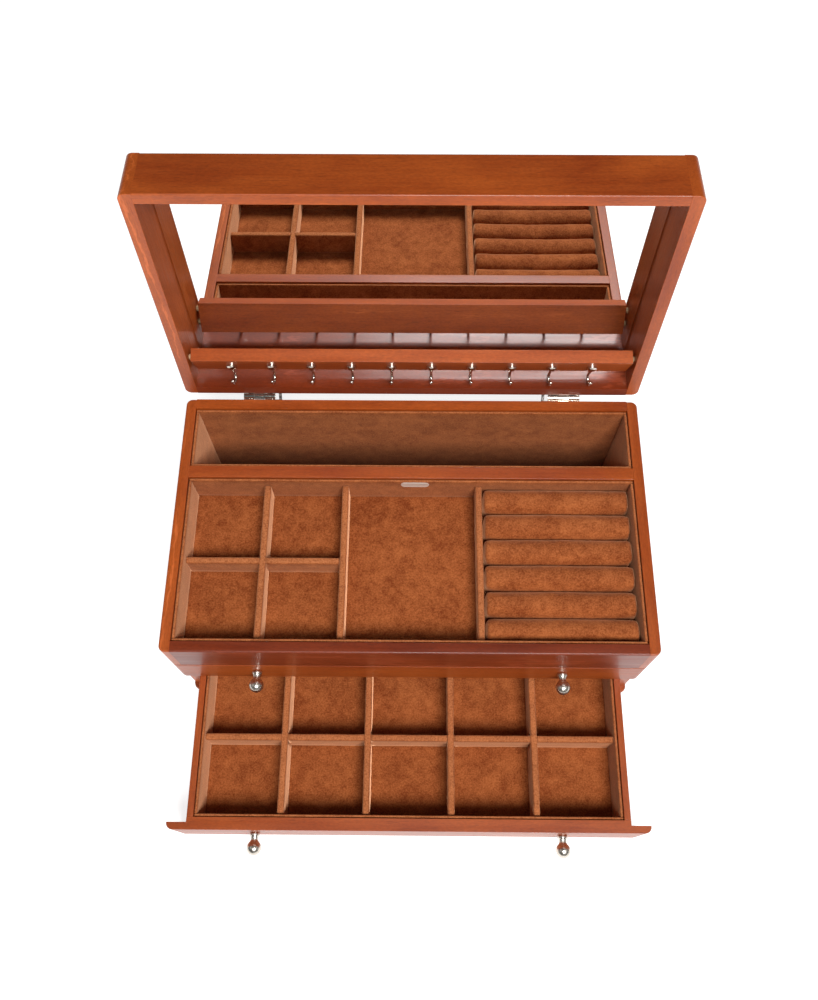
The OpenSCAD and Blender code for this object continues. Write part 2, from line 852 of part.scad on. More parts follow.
left_side();
right_side();
back_panel();
front_apron();
well_partition();
base_board();
felt_base();
drawer_shelf();
tray_board();
upper_guides();
lower_guides();
well_lining();
well_floor_pad();
tray_lining();
tray_floor_pad();
tray_small_divider();
tray_long_dividers();
tray_cross_divider();
ring_roll(1);  // ring_roll_1
ring_roll(2);  // ring_roll_2
ring_roll(3);  // ring_roll_3
ring_roll(4);  // ring_roll_4
ring_roll(5);  // ring_roll_5
ring_roll(6);  // ring_roll_6
name_plate();
case_hinge_leaves();
hinge_pins();
case_hinge_screws();
lid_top_panel();
lid_front_rail();
lid_back_rail();
lid_left_rail();
lid_right_rail();
lid_mirror();
hook_bar();
hook_bar_dowels();
necklace_hooks();
lid_hinge_leaves();
lid_hinge_screws();
upper_drawer_front();
upper_drawer_sides();
upper_drawer_back();
upper_drawer_bottom();
upper_drawer_lining();
upper_drawer_pad();
upper_drawer_dividers();
upper_knobs();
upper_knob_screws();
lower_drawer_front();
lower_drawer_sides();
lower_drawer_back();
lower_drawer_bottom();
lower_drawer_lining();
lower_drawer_pad();
lower_long_dividers();
lower_cross_divider();
lower_knobs();
lower_knob_screws();
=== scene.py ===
"""Jewelry box: lacquered boards, suede linings, ring rolls, mirror, hooks, hinges and knobs, round the frame."""

import json
import math
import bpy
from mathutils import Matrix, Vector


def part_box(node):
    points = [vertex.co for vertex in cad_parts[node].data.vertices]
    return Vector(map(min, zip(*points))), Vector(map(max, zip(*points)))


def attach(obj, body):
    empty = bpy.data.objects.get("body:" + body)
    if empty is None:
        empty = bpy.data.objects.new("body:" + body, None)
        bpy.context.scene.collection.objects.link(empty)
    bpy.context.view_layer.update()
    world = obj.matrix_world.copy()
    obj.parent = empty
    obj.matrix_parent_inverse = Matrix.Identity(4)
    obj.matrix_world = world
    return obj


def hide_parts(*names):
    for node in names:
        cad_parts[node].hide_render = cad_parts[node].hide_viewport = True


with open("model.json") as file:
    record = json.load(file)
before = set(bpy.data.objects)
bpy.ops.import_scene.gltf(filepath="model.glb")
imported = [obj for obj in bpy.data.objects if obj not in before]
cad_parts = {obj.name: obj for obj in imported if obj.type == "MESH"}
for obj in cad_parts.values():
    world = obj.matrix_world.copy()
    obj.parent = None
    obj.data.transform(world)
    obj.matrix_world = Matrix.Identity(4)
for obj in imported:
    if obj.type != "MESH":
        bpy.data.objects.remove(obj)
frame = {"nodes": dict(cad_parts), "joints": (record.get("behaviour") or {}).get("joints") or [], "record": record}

import zlib

import bmesh
import bpy
from bpy.props import FloatProperty, FloatVectorProperty, IntProperty, PointerProperty
from bpy.types import Operator, Panel, PropertyGroup
from mathutils import Matrix, Vector, noise
from mathutils.bvhtree import BVHTree

bl_info = {
    "name": "Jewelry Box",
    "version": (1, 0, 0),
    "blender": (4, 5, 0),
    "location": "3D View > Sidebar > Jewelry Box",
    "description": "Builds the finished look of a lined wooden jewelry box around its frame",
    "category": "Add Mesh",
}

MM = 0.001
NODES = frame["nodes"]
RECORD = frame["record"]
BODY_OF = {n: b for b, ns in RECORD["behaviour"]["bodies"].items() for n in ns}
LID_HINGE = next(j for j in frame["joints"] if j["name"] == "lid_hinge")
HINGE_AT = Vector(LID_HINGE["pos_m"])
LID_ANGLE = math.radians(LID_HINGE["range_deg"][1])
# Turns a point of the open lid to where it is when the lid is shut
SHUT = (
    Matrix.Translation(HINGE_AT)
    @ Matrix.Rotation(LID_ANGLE, 4, "X")
    @ Matrix.Translation(-HINGE_AT)
)

CASE_LO, CASE_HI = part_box("base_board")
HALF_W = CASE_HI.x
HALF_D = CASE_HI.y
CORNER = 4.5 * MM
LINING_T = 1.8 * MM
DIVIDER_T = 4.6 * MM
GAP = 0.15 * MM
EDGE_WEAR = 0.6 * MM  # how far down a lining wall its top edge is rubbed
DIVIDER_WEAR = 1.6 * MM
FINGER_X = (95.9 * MM, 97.7 * MM)  # where the lid hinges' stop fingers lie, sideways


# ---- Sizes and colours that a user would change ----


class WoodFinish(PropertyGroup):
    outer_edge: FloatProperty(
        name="Outer edges",
        description="Rounding of the edges on the outside of the box",
        default=1.1 * MM, min=0.0, unit="LENGTH", subtype="DISTANCE",
    )
    inner_edge: FloatProperty(
        name="Inner edges",
        description="Rounding of the edges round the openings",
        default=0.35 * MM, min=0.0, unit="LENGTH", subtype="DISTANCE",
    )
    seam_edge: FloatProperty(
        name="Seams",
        description="Rounding where two boards are glued together",
        default=0.04 * MM, min=0.0, unit="LENGTH", subtype="DISTANCE",
    )
    stain_dark: FloatVectorProperty(
        name="Dark stain", description="Colour of the darker wood",
        default=(0.22, 0.030, 0.003), size=3, min=0.0, max=1.0, subtype="COLOR",
    )
    stain_light: FloatVectorProperty(
        name="Light stain", description="Colour of the lighter wood",
        default=(0.46, 0.095, 0.012), size=3, min=0.0, max=1.0, subtype="COLOR",
    )
    # Painted shade: a darker copy of the wood stain for the boards that face the front, standing in for the shade
    # those faces get
    front_shade_stain: FloatVectorProperty(
        name="Painted front shade", description="Darkest colour of the boards that face the front",
        default=(0.10, 0.010, 0.001), size=3, min=0.0, max=1.0, subtype="COLOR",
    )
    inside_dark: FloatVectorProperty(
        name="Dark inner boards", description="Darker colour of the hidden boards",
        default=(0.16, 0.055, 0.020), size=3, min=0.0, max=1.0, subtype="COLOR",
    )
    inside_light: FloatVectorProperty(
        name="Light inner boards", description="Lighter colour of the hidden boards",
        default=(0.27, 0.12, 0.05), size=3, min=0.0, max=1.0, subtype="COLOR",
    )


class SuedeFinish(PropertyGroup):
    nap_dark: FloatVectorProperty(
        name="Dark nap", description="Colour of the nap where it lies away",
        default=(0.17, 0.034, 0.007), size=3, min=0.0, max=1.0, subtype="COLOR",
    )
    nap_light: FloatVectorProperty(
        name="Light nap", description="Colour of the nap where it stands up",
        default=(0.40, 0.115, 0.032), size=3, min=0.0, max=1.0, subtype="COLOR",
    )
    worn: FloatVectorProperty(
        name="Worn edges", description="Colour of the suede along handled edges",
        default=(0.58, 0.22, 0.09), size=3, min=0.0, max=1.0, subtype="COLOR",
    )
    lining_round: FloatProperty(
        name="Lining edge", description="Rounding of the top of a lining wall",
        default=0.75 * MM, min=0.0, unit="LENGTH", subtype="DISTANCE",
    )
    divider_round: FloatProperty(
        name="Divider edge", description="Rounding of the top of a divider",
        default=1.3 * MM, min=0.0, unit="LENGTH", subtype="DISTANCE",
    )
    wave: FloatProperty(
        name="Waviness", description="How far the suede strays from a flat face",
        default=0.14 * MM, min=0.0, unit="LENGTH", subtype="DISTANCE",
    )
    crown: FloatProperty(
        name="Pad crown", description="How far a floor pad rises in the middle of a cell",
        default=0.45 * MM, min=0.0, unit="LENGTH", subtype="DISTANCE",
    )
    roll_voxel: FloatProperty(
        name="Roll mesh", description="Size of the mesh in a ring roll's simulation",
        default=2.2 * MM, min=1.0 * MM, unit="LENGTH", subtype="DISTANCE",
    )
    roll_swell: FloatProperty(
        name="Roll swell", description="Most that a ring roll's cover may move",
        default=1.6 * MM, min=0.0, unit="LENGTH", subtype="DISTANCE",
    )


class MetalFinish(PropertyGroup):
    nickel: FloatVectorProperty(
        name="Nickel", description="Colour of the satin nickel plate",
        default=(0.72, 0.66, 0.58), size=3, min=0.0, max=1.0, subtype="COLOR",
    )
    steel: FloatVectorProperty(
        name="Steel", description="Colour of the plain steel",
        default=(0.58, 0.56, 0.53), size=3, min=0.0, max=1.0, subtype="COLOR",
    )
    knob_turns: IntProperty(
        name="Knob facets", description="Number of mesh segments round a knob",
        default=56, min=16,
    )


class StageLook(PropertyGroup):
    camera_at: FloatVectorProperty(
        name="Camera", description="Where the camera stands",
        default=(0.0036, -0.2457, 0.7205), size=3, unit="LENGTH", subtype="TRANSLATION",
    )
    camera_down: FloatProperty(
        name="Look down", description="How steeply the camera looks down",
        default=math.radians(66.54), unit="ROTATION", subtype="ANGLE",
    )
    camera_yaw: FloatProperty(
        name="Turn", description="How far the camera is turned to the right",
        default=math.radians(-1.029), unit="ROTATION", subtype="ANGLE",
    )
    camera_roll: FloatProperty(
        name="Roll", description="How far the camera leans",
        default=math.radians(-0.586), unit="ROTATION", subtype="ANGLE",
    )
    lens: FloatProperty(
        name="Lens", description="Focal length for a 36 mm long side",
        default=33.67, min=1.0, unit="CAMERA",
    )
    floor_color: FloatVectorProperty(
        name="Floor", description="Colour of the floor",
        default=(0.50, 0.50, 0.50), size=3, min=0.0, max=1.0, subtype="COLOR",
    )
    floor_glow: FloatProperty(
        name="Floor glow", description="Light that the pale floor gives off by itself",
        default=0.80, min=0.0,
    )
    key_power: FloatProperty(
        name="Key light", description="Power of the large light above the front",
        default=40.0, min=0.0, unit="POWER",
    )
    side_power: FloatProperty(
        name="Side lights", description="Power of each light at the sides",
        default=1.2, min=0.0, unit="POWER",
    )
    sky: FloatProperty(
        name="Room light", description="Strength of the even light all round",
        default=0.07, min=0.0,
    )


# ---- Shader helpers ----


class Shader:
    """A material with one Principled shader and short calls for its pattern nodes."""

    def __init__(self, name, **sockets):
        self.material = bpy.data.materials.new(name)
        self.material.use_nodes = True
        self.tree = self.material.node_tree
        self.principled = self.tree.nodes["Principled BSDF"]
        for key, value in sockets.items():
            self.principled.inputs[key.replace("_", " ").title().replace("Ior", "IOR")].default_value = value

    def node(self, kind, **settings):
        made = self.tree.nodes.new(kind)
        for key, value in settings.items():
            setattr(made, key, value)
        return made

    def link(self, source, target):
        self.tree.links.new(source, target)

    def scaled(self, vector, scale, offset=(0, 0, 0)):
        made = self.node("ShaderNodeMapping")
        made.inputs["Scale"].default_value = scale
        made.inputs["Location"].default_value = offset
        self.link(vector, made.inputs["Vector"])
        return made.outputs["Vector"]

    def noise(self, vector, scale=1.0, detail=2.0, rough=0.5, twist=0.0):
        made = self.node("ShaderNodeTexNoise")
        made.inputs["Scale"].default_value = scale
        made.inputs["Detail"].default_value = detail
        made.inputs["Roughness"].default_value = rough
        made.inputs["Distortion"].default_value = twist
        self.link(vector, made.inputs["Vector"])
        return made.outputs["Fac"]

    def math(self, kind, a, b=0.0, c=0.0):
        made = self.node("ShaderNodeMath", operation=kind)
        for i, value in enumerate((a, b, c)):
            if isinstance(value, (int, float)):
                made.inputs[i].default_value = value
            else:
                self.link(value, made.inputs[i])
        return made.outputs[0]

    def spread(self, value, low, high, to_low=0.0, to_high=1.0):
        made = self.node("ShaderNodeMapRange", clamp=True)
        for key, number in (("From Min", low), ("From Max", high), ("To Min", to_low), ("To Max", to_high)):
            made.inputs[key].default_value = number
        self.link(value, made.inputs["Value"])
        return made.outputs["Result"]

    def blend(self, amount, a, b, kind="MIX"):
        made = self.node("ShaderNodeMix", data_type="RGBA", blend_type=kind)
        for socket, value in ((made.inputs["Factor"], amount), (made.inputs["A"], a), (made.inputs["B"], b)):
            if isinstance(value, (int, float)):
                socket.default_value = value
            elif isinstance(value, (tuple, list)):
                socket.default_value = (*value[:3], 1.0)
            elif hasattr(value, "is_linked"):
                self.link(value, socket)
            else:
                socket.default_value = (*tuple(value)[:3], 1.0)
        return made.outputs["Result"]

    def bump(self, height, strength, distance):
        made = self.node("ShaderNodeBump")
        made.inputs["Strength"].default_value = strength
        made.inputs["Distance"].default_value = distance
        self.link(height, made.inputs["Height"])
        self.link(made.outputs["Normal"], self.principled.inputs["Normal"])

    def attribute(self, name, output="Vector"):
        made = self.node("ShaderNodeAttribute", attribute_name=name)
        return made.outputs[output]

    def own_place(self):
        return self.node("ShaderNodeTexCoord").outputs["Object"]


def lacquered_wood(name, dark, light, coat=0.16, rough=0.42):
    """Stained wood under lacquer: long streaks, fine pores, cloudy stain and a few jagged growth lines."""
    s = Shader(name, roughness=rough, coat_weight=coat, coat_roughness=0.16, ior=1.45)
    grain = s.attribute("grain")
    cloud = s.noise(s.scaled(grain, (9, 22, 22)), detail=3.0, rough=0.55, twist=0.6)
    streak = s.noise(s.scaled(grain, (14, 420, 420)), detail=3.0, rough=0.6)
    pore = s.noise(s.scaled(grain, (130, 2400, 2400)), detail=2.0, rough=0.5)
    fleck = s.noise(s.scaled(grain, (420, 900, 900)), detail=1.0, rough=0.5)
    ring_place = s.scaled(grain, (7, 26, 26))
    ring = s.node("ShaderNodeTexWave", wave_type="BANDS", bands_direction="Y", wave_profile="SIN")
    ring.inputs["Scale"].default_value = 0.55
    ring.inputs["Distortion"].default_value = 3.0
    ring.inputs["Detail"].default_value = 5.0
    ring.inputs["Detail Scale"].default_value = 2.6
    ring.inputs["Detail Roughness"].default_value = 0.75
    s.link(ring_place, ring.inputs["Vector"])
    line = s.spread(ring.outputs["Fac"], 0.985, 1.0)
    faded = s.math("MULTIPLY", line, s.spread(cloud, 0.46, 0.60))
    tone = s.math("ADD", s.math("MULTIPLY", cloud, 0.85), s.math("MULTIPLY", streak, 0.30))
    tone = s.math("ADD", tone, s.math("MULTIPLY", ring.outputs["Fac"], 0.10))
    base = s.blend(s.spread(tone, 0.34, 0.92), dark, light)
    speck = s.spread(pore, 0.30, 0.44, 0.72, 1.0)
    speck = s.math("MULTIPLY", speck, s.spread(fleck, 0.25, 0.75, 0.88, 1.14))
    grey = s.node("ShaderNodeCombineColor")
    for i in range(3):
        s.link(speck, grey.inputs[i])
    base = s.blend(1.0, base, grey.outputs[0], "MULTIPLY")
    pale = tuple(min(1.0, c * 1.9 + 0.03) for c in light)
    base = s.blend(s.math("MULTIPLY", faded, 0.34), base, pale)
    s.link(base, s.principled.inputs["Base Color"])
    s.link(s.spread(streak, 0.3, 0.7, rough - 0.05, rough + 0.07), s.principled.inputs["Roughness"])
    s.bump(s.math("ADD", s.math("MULTIPLY", pore, 0.5), streak), 0.10, 0.05 * MM)
    return s.material


def suede(name, look):
    """Short brushed nap: speckle, mottling and broad brush marks, with a soft sheen and paler worn edges."""
    s = Shader(name, roughness=0.92, sheen_weight=0.9, sheen_roughness=0.38, specular_ior_level=0.12)
    s.principled.inputs["Sheen Tint"].default_value = (1.0, 0.50, 0.27, 1.0)
    place = s.own_place()
    fibre = s.noise(place, 2300.0, 2.0, 0.6)
    speckle = s.noise(place, 850.0, 3.0, 0.6)
    mottle = s.noise(place, 170.0, 3.0, 0.55, 0.4)
    brush = s.noise(s.scaled(place, (1.0, 1.0, 1.6)), 34.0, 2.0, 0.5, 1.2)
    tone = s.math("MULTIPLY", speckle, 0.75)
    tone = s.math("ADD", tone, s.math("MULTIPLY", fibre, 0.45))
    tone = s.math("ADD", tone, s.math("MULTIPLY", mottle, 0.42))
    tone = s.math("ADD", tone, s.math("MULTIPLY", brush, 0.38))
    base = s.blend(s.spread(tone, 0.82, 1.20), tuple(look.nap_dark), tuple(look.nap_light))
    worn = s.math("MULTIPLY", s.attribute("worn", "Fac"), s.spread(speckle, 0.35, 0.62, 0.35, 1.0))
    base = s.blend(worn, base, tuple(look.worn))
    s.link(base, s.principled.inputs["Base Color"])
    height = s.math("ADD", s.math("MULTIPLY", fibre, 0.5), speckle)
    s.bump(height, 0.55, 0.16 * MM)
    return s.material


def felt(name):
    s = Shader(name, roughness=1.0, sheen_weight=0.3, sheen_roughness=0.5)
    place = s.own_place()
    fibre = s.noise(place, 1500.0, 4.0, 0.65, 0.5)
    clump = s.noise(place, 260.0, 2.0, 0.5)
    tone = s.math("ADD", s.math("MULTIPLY", fibre, 0.7), s.math("MULTIPLY", clump, 0.5))
    base = s.blend(s.spread(tone, 0.4, 0.85), (0.012, 0.009, 0.008), (0.045, 0.034, 0.028))
    s.link(base, s.principled.inputs["Base Color"])
    s.bump(fibre, 0.6, 0.2 * MM)
    return s.material


def plated(name, color, rough, streaky=0.06, metal=1.0):
    """Plated metal with a fine satin texture and faint smudges."""
    s = Shader(name, metallic=metal, roughness=rough)
    place = s.own_place()
    fine = s.noise(place, 3800.0, 2.0, 0.5)
    smudge = s.noise(place, 420.0, 3.0, 0.6, 0.8)
    darker = tuple(c * 0.86 for c in color)
    s.link(s.blend(s.spread(smudge, 0.3, 0.7), darker, tuple(color)), s.principled.inputs["Base Color"])
    satin = s.spread(smudge, 0.25, 0.75, rough - streaky * 0.5, rough + streaky)
    s.link(satin, s.principled.inputs["Roughness"])
    s.bump(fine, 0.12, 0.02 * MM)
    return s.material


def silvered_glass(name):
    """Mirror glass, with the faintest cloudiness in its polish."""
    s = Shader(name, metallic=1.0, roughness=0.0, coat_weight=1.0, coat_roughness=0.0)
    haze = s.noise(s.own_place(), 6.0, 2.0, 0.5)
    base = s.blend(s.spread(haze, 0.3, 0.7), (0.90, 0.915, 0.91), (0.93, 0.94, 0.935))
    s.link(base, s.principled.inputs["Base Color"])
    s.link(s.spread(haze, 0.3, 0.7, 0.0, 0.004), s.principled.inputs["Roughness"])
    return s.material


MADE = {}


def finish_named(name):
    """The material of a finish, made the first time that it is asked for."""
    if name not in MADE:
        scene = bpy.context.scene
        wood, soft, metal = scene.jewelry_wood, scene.jewelry_suede, scene.jewelry_metal
        nickel, steel = tuple(metal.nickel), tuple(metal.steel)
        makers = {  # finish: (maker, what it takes after the name)
            "lacquered_wood": (lacquered_wood, tuple(wood.stain_dark), tuple(wood.stain_light)),
            # painted shade: the wood darkened for the boards that face the front, in place of the shade that falls
            # on those faces
            "deep_lacquer": (lacquered_wood, tuple(wood.front_shade_stain), tuple(wood.stain_dark)),
            "inner_board": (lacquered_wood, tuple(wood.inside_dark), tuple(wood.inside_light), 0.0, 0.6),
            "beech_dowel": (lacquered_wood, (0.42, 0.26, 0.13), (0.60, 0.42, 0.24), 0.0, 0.6),
            "brushed_suede": (suede, soft),
            "dark_felt": (felt,),
            "satin_nickel": (plated, nickel, 0.27),
            "bright_nickel": (plated, nickel, 0.14, 0.04),
            "dark_steel": (plated, (0.10, 0.09, 0.085), 0.42),
            "plate_nickel": (plated, (0.93, 0.88, 0.80), 0.42, 0.05, 0.55),
            "plain_steel": (plated, steel, 0.35),
            "silvered_glass": (silvered_glass,),
        }
        maker, *sorts = makers[name]
        MADE[name] = maker(name, *sorts)
    return MADE[name]


# ---- Mesh helpers ----


def add_object(name, mesh, material, node=None):
    """Puts a finished mesh in the scene, on the body of the CAD node that it stands for."""
    mesh.name = name
    made = bpy.data.objects.new(name, mesh)
    bpy.context.scene.collection.objects.link(made)
    mesh.materials.clear()
    mesh.materials.append(finish_named(material))
    if node:
        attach(made, BODY_OF[node])
        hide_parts(node)
    return made


def mesh_from(bm, smooth=True):
    bmesh.ops.recalc_face_normals(bm, faces=bm.faces)
    mesh = bpy.data.meshes.new("form")
    bm.to_mesh(mesh)
    bm.free()
    mesh.polygons.foreach_set("use_smooth", [smooth] * len(mesh.polygons))
    return mesh


def evaluated_mesh(obj):
    """The object's mesh with its modifiers applied. The object is removed."""
    graph = bpy.context.evaluated_depsgraph_get()
    mesh = bpy.data.meshes.new_from_object(
        obj.evaluated_get(graph), preserve_all_data_layers=True, depsgraph=graph,
    )
    old = obj.data
    bpy.data.objects.remove(obj)
    bpy.data.meshes.remove(old)
    return mesh


def welded(node):
    """A CAD node's mesh with its corners joined and each flat side made one face."""
    bm = bmesh.new()
    bm.from_mesh(NODES[node].data)
    bmesh.ops.remove_doubles(bm, verts=bm.verts, dist=2e-6)
    bmesh.ops.dissolve_limit(bm, angle_limit=math.radians(0.6), verts=bm.verts, edges=bm.edges)
    return bm


def node_tree_of(node):
    bm = bmesh.new()
    bm.from_mesh(NODES[node].data)
    tree = BVHTree.FromBMesh(bm)
    bm.free()
    return tree


def outline_distance(p):
    """How far a point lies inside the rounded outline of the case, seen from above."""
    x = abs(p.x) - (HALF_W - CORNER)
    y = abs(p.y) - (HALF_D - CORNER)
    outside = math.hypot(max(x, 0.0), max(y, 0.0))
    return CORNER - outside - min(max(x, y), 0.0)


def seed_of(name):
    return zlib.crc32(name.encode()) % 9973


# ---- Boards ----


def edge_roundings(bm, node, neighbours, widths):
    """Gives every sharp edge of a board its own rounding, as a share of the widest one."""
    outer, inner, seam = widths
    widest = max(widths)
    layer = bm.edges.layers.float.get("bevel_weight_edge") or bm.edges.layers.float.new("bevel_weight_edge")
    shut = SHUT if BODY_OF[node] == "lid" else Matrix.Identity(4)
    for edge in bm.edges:
        if len(edge.link_faces) != 2 or edge.calc_face_angle(0.0) < math.radians(28):
            continue
        a, b = edge.verts[0].co, edge.verts[1].co
        spots = [a.lerp(b, t) for t in (0.08, 0.3, 0.5, 0.7, 0.92)]
        touching = 0
        for spot in spots:
            if any(tree.find_nearest(spot, 0.08 * MM)[0] is not None for tree in neighbours):
                touching += 1
        if touching >= 3:
            width = seam
        elif outline_distance(shut @ spots[2]) < 1.0 * MM:
            width = outer
        else:
            width = inner
        edge[layer] = width / widest
    return widest


def write_grain(mesh, node, along):
    """Stores each point's place in the board's own grain: along it, across it and into it, in metres."""
    shut = SHUT if BODY_OF[node] == "lid" else Matrix.Identity(4)
    order = {"X": (0, 1, 2), "Y": (1, 0, 2), "Z": (2, 0, 1)}[along]
    seed = seed_of(node)
    shift = (seed % 97 * 0.131, seed % 89 * 0.117, seed % 83 * 0.103)
    layer = mesh.attributes.new("grain", "FLOAT_VECTOR", "POINT")
    values = []
    for vertex in mesh.vertices:
        p = shut @ vertex.co
        values += [p[order[i]] + shift[i] for i in range(3)]
    layer.data.foreach_set("vector", values)


def board(name, node, along, neighbours, widths, material="lacquered_wood"):
    """One wooden board: the CAD solid with eased edges and its own grain."""
    bm = welded(node)
    widest = edge_roundings(bm, node, neighbours, widths)
    mesh = mesh_from(bm)
    rough = bpy.data.objects.new(name, mesh)
    bpy.context.scene.collection.objects.link(rough)
    ease = rough.modifiers.new("eased edges", "BEVEL")
    ease.limit_method = "WEIGHT"
    ease.width = widest
    ease.segments = 3
    ease.use_clamp_overlap = True
    ease.loop_slide = False
    mesh = evaluated_mesh(rough)
    write_grain(mesh, node, along)
    mesh.polygons.foreach_set("use_smooth", [True] * len(mesh.polygons))
    made = add_object(name, mesh, material, node)
    shade = made.modifiers.new("flat sides", "WEIGHTED_NORMAL")
    shade.mode = "FACE_AREA"
    shade.weight = 90
    shade.keep_sharp = True
    return made


def boards(table, widths):
    trees = {node: node_tree_of(node) for node, *_ in table}
    for node, along, material, slot in table:
        near = [tree for other, tree in trees.items() if other != node]
        board(node + ".wood", node, along, near, widths, material)


# ---- Suede forms ----


def steps_between(low, high, rim, pitch, extra=()):
    """Mesh lines from low to high: close together in the rounding at each end, and evenly spread between."""
    rim = min(rim, 0.49 * (high - low))
    ends = [0.0, 0.08 * rim, 0.3 * rim, 0.62 * rim, rim]
    count = max(1, round((high - low - 2 * rim) / pitch))
    middle = [low + rim + (high - low - 2 * rim) * i / count for i in range(1, count)]
    lines = [low + e for e in ends] + middle + [high - e for e in ends] + list(extra)
    lines = sorted(lines)
    kept = [lines[0]]
    for value in lines[1:]:
        if value - kept[-1] > 1e-6:
            kept.append(value)
    return kept


def slab(bm, low, high, rounding, pitch=4 * MM, extra=((), (), ()), shape=None):
    """A closed slab of three sets of mesh lines with rounded edges."""
    low, high = Vector(low), Vector(high)
    radius = min(rounding, *(0.49 * (high[i] - low[i]) for i in range(3)))
    lines = [steps_between(low[i], high[i], radius, pitch, extra[i]) for i in range(3)]
    counts = [len(line) for line in lines]
    grid = {}

    def point(i, j, k):
        key = (i, j, k)
        if key not in grid:
            p = Vector((lines[0][i], lines[1][j], lines[2][k]))
            core = Vector([min(max(p[n], low[n] + radius), high[n] - radius) for n in range(3)])
            away = p - core
            if sum(abs(away[n]) > 1e-9 for n in range(3)) > 1:
                away = away.normalized() * radius
            p = core + away
            grid[key] = bm.verts.new(shape(p) if shape else p)
        return grid[key]

    for axis in range(3):
        u, v = [n for n in range(3) if n != axis]
        for side in (0, counts[axis] - 1):
            for a in range(counts[u] - 1):
                for b in range(counts[v] - 1):
                    corners = []
                    for da, db in ((0, 0), (1, 0), (1, 1), (0, 1)):
                        index = [0, 0, 0]
                        index[axis], index[u], index[v] = side, a + da, b + db
                        corners.append(point(*index))
                    bm.faces.new(corners)


def wavy(amount, seed, cell=16 * MM):
    """A gentle, repeatable unevenness for a fabric face."""
    def move(p):
        q = p / cell + Vector((seed % 31, seed % 17, seed % 13))
        return Vector(noise.noise_vector(q)) * amount
    return move


def mark_worn(mesh, top, depth, share=1.0):
    """Marks the points near a top edge, where handling has made the suede paler."""
    layer = mesh.attributes.new("worn", "FLOAT", "POINT")
    values = []
    for vertex in mesh.vertices:
        t = min(1.0, max(0.0, (vertex.co.z - (top - depth)) / depth)) if depth else 0.0
        values.append(share * t * t)
    layer.data.foreach_set("value", values)


def suede_piece(name, node, bm, top=None, depth=0.0, share=0.0):
    mesh = mesh_from(bm)
    if top is None:
        top = max(v.co.z for v in mesh.vertices)
    mark_worn(mesh, top, depth, share)
    return add_object(name, mesh, "brushed_suede", node)


def lining_walls(name, node, look):
    """The four suede covered panels of a lining ring, butted at the corners."""
    low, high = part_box(node)
    panels = [
        ((low.x, low.y, low.z), (high.x, low.y + LINING_T, high.z)),
        ((low.x, high.y - LINING_T, low.z), (high.x, high.y, high.z)),
        ((low.x, low.y + LINING_T, low.z), (low.x + LINING_T, high.y - LINING_T, high.z)),
        ((high.x - LINING_T, low.y + LINING_T, low.z), (high.x, high.y - LINING_T, high.z)),
    ]
    bm = bmesh.new()
    for i, (a, b) in enumerate(panels):
        stray = wavy(look.wave, seed_of(node) + 7 * i)

        def shape(p, a=a, b=b, stray=stray):
            return p + stray(p) * 0.7

        slab(bm, a, b, look.lining_round, 4.5 * MM, shape=shape)
    return suede_piece(name, node, bm, high.z, EDGE_WEAR, 0.45)


def divider(bm, low, high, look, seed, notches=(), notch_low=None, notch_high=None, axis=0):
    """A suede covered divider. notches are the places along it where a crossing divider passes."""
    low, high = Vector(low), Vector(high)
    stray = wavy(look.wave * 1.2, seed, 12 * MM)
    half = DIVIDER_T / 2 + GAP
    extra = []
    for at in notches:
        extra += [at - half - 0.02 * MM, at - half, at + half, at + half + 0.02 * MM]

    def shape(p):
        q = Vector(p)
        for at in notches:
            if abs(p[axis] - at) < half + 0.005 * MM:
                if notch_high is not None:
                    q.z = low.z + (q.z - low.z) * (notch_high - low.z) / (high.z - low.z)
                if notch_low is not None:
                    q.z = high.z - (high.z - q.z) * (high.z - notch_low) / (high.z - low.z)
        return q + stray(p)

    lines = [(), (), ()]
    lines[axis] = extra
    slab(bm, low, high, look.divider_round, 4 * MM, tuple(lines), shape)


def pad(name, node, cells, look):
    """A padded floor sheet that rises a little in every cell and is pressed down under the dividers."""
    low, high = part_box(node)
    stray = wavy(look.wave * 1.3, seed_of(node), 22 * MM)
    xs = sorted({round(c[i], 6) for c in cells for i in (0, 2)})
    ys = sorted({round(c[i], 6) for c in cells for i in (1, 3)})

    def rise(p):
        for x0, y0, x1, y1 in cells:
            if x0 <= p.x <= x1 and y0 <= p.y <= y1:
                u = min(p.x - x0, x1 - p.x) / (6 * MM)
                v = min(p.y - y0, y1 - p.y) / (6 * MM)
                u, v = min(1.0, u), min(1.0, v)
                return u * (2 - u) * v * (2 - v)
        return 0.0

    def shape(p):
        if p.z < low.z + 0.4 * (high.z - low.z):
            return p
        up = rise(p)
        q = p + Vector((0, 0, look.crown * (up - 0.35)))
        return q + Vector((0, 0, stray(p).z * up))

    bm = bmesh.new()
    slab(bm, low, high, 0.5 * MM, 3.2 * MM, (xs, ys, ()), shape)
    made = suede_piece(name, node, bm)
    return made


def divider_spots(node, axis):
    """Middle of each divider of a node along an axis, found from its separate solids."""
    bm = bmesh.new()
    bm.from_mesh(NODES[node].data)
    bmesh.ops.remove_doubles(bm, verts=bm.verts, dist=2e-6)
    left = set(bm.verts)
    spots = []
    while left:
        stack = [left.pop()]
        island = []
        while stack:
            vert = stack.pop()
            island.append(vert.co[axis])
            for edge in vert.link_edges:
                other = edge.other_vert(vert)
                if other in left:
                    left.remove(other)
                    stack.append(other)
        spots.append((min(island) + max(island)) / 2)
    bm.free()
    return sorted(spots)


def cell_grid(low, high, xs, ys):
    """The cells between dividers centred on xs and ys, as (x0, y0, x1, y1)."""
    half = DIVIDER_T / 2
    columns = [low.x] + [v for x in xs for v in (x - half, x + half)] + [high.x]
    rows = [low.y] + [v for y in ys for v in (y - half, y + half)] + [high.y]
    return [
        (columns[i], rows[j], columns[i + 1], rows[j + 1])
        for i in range(0, len(columns), 2)
        for j in range(0, len(rows), 2)
    ]


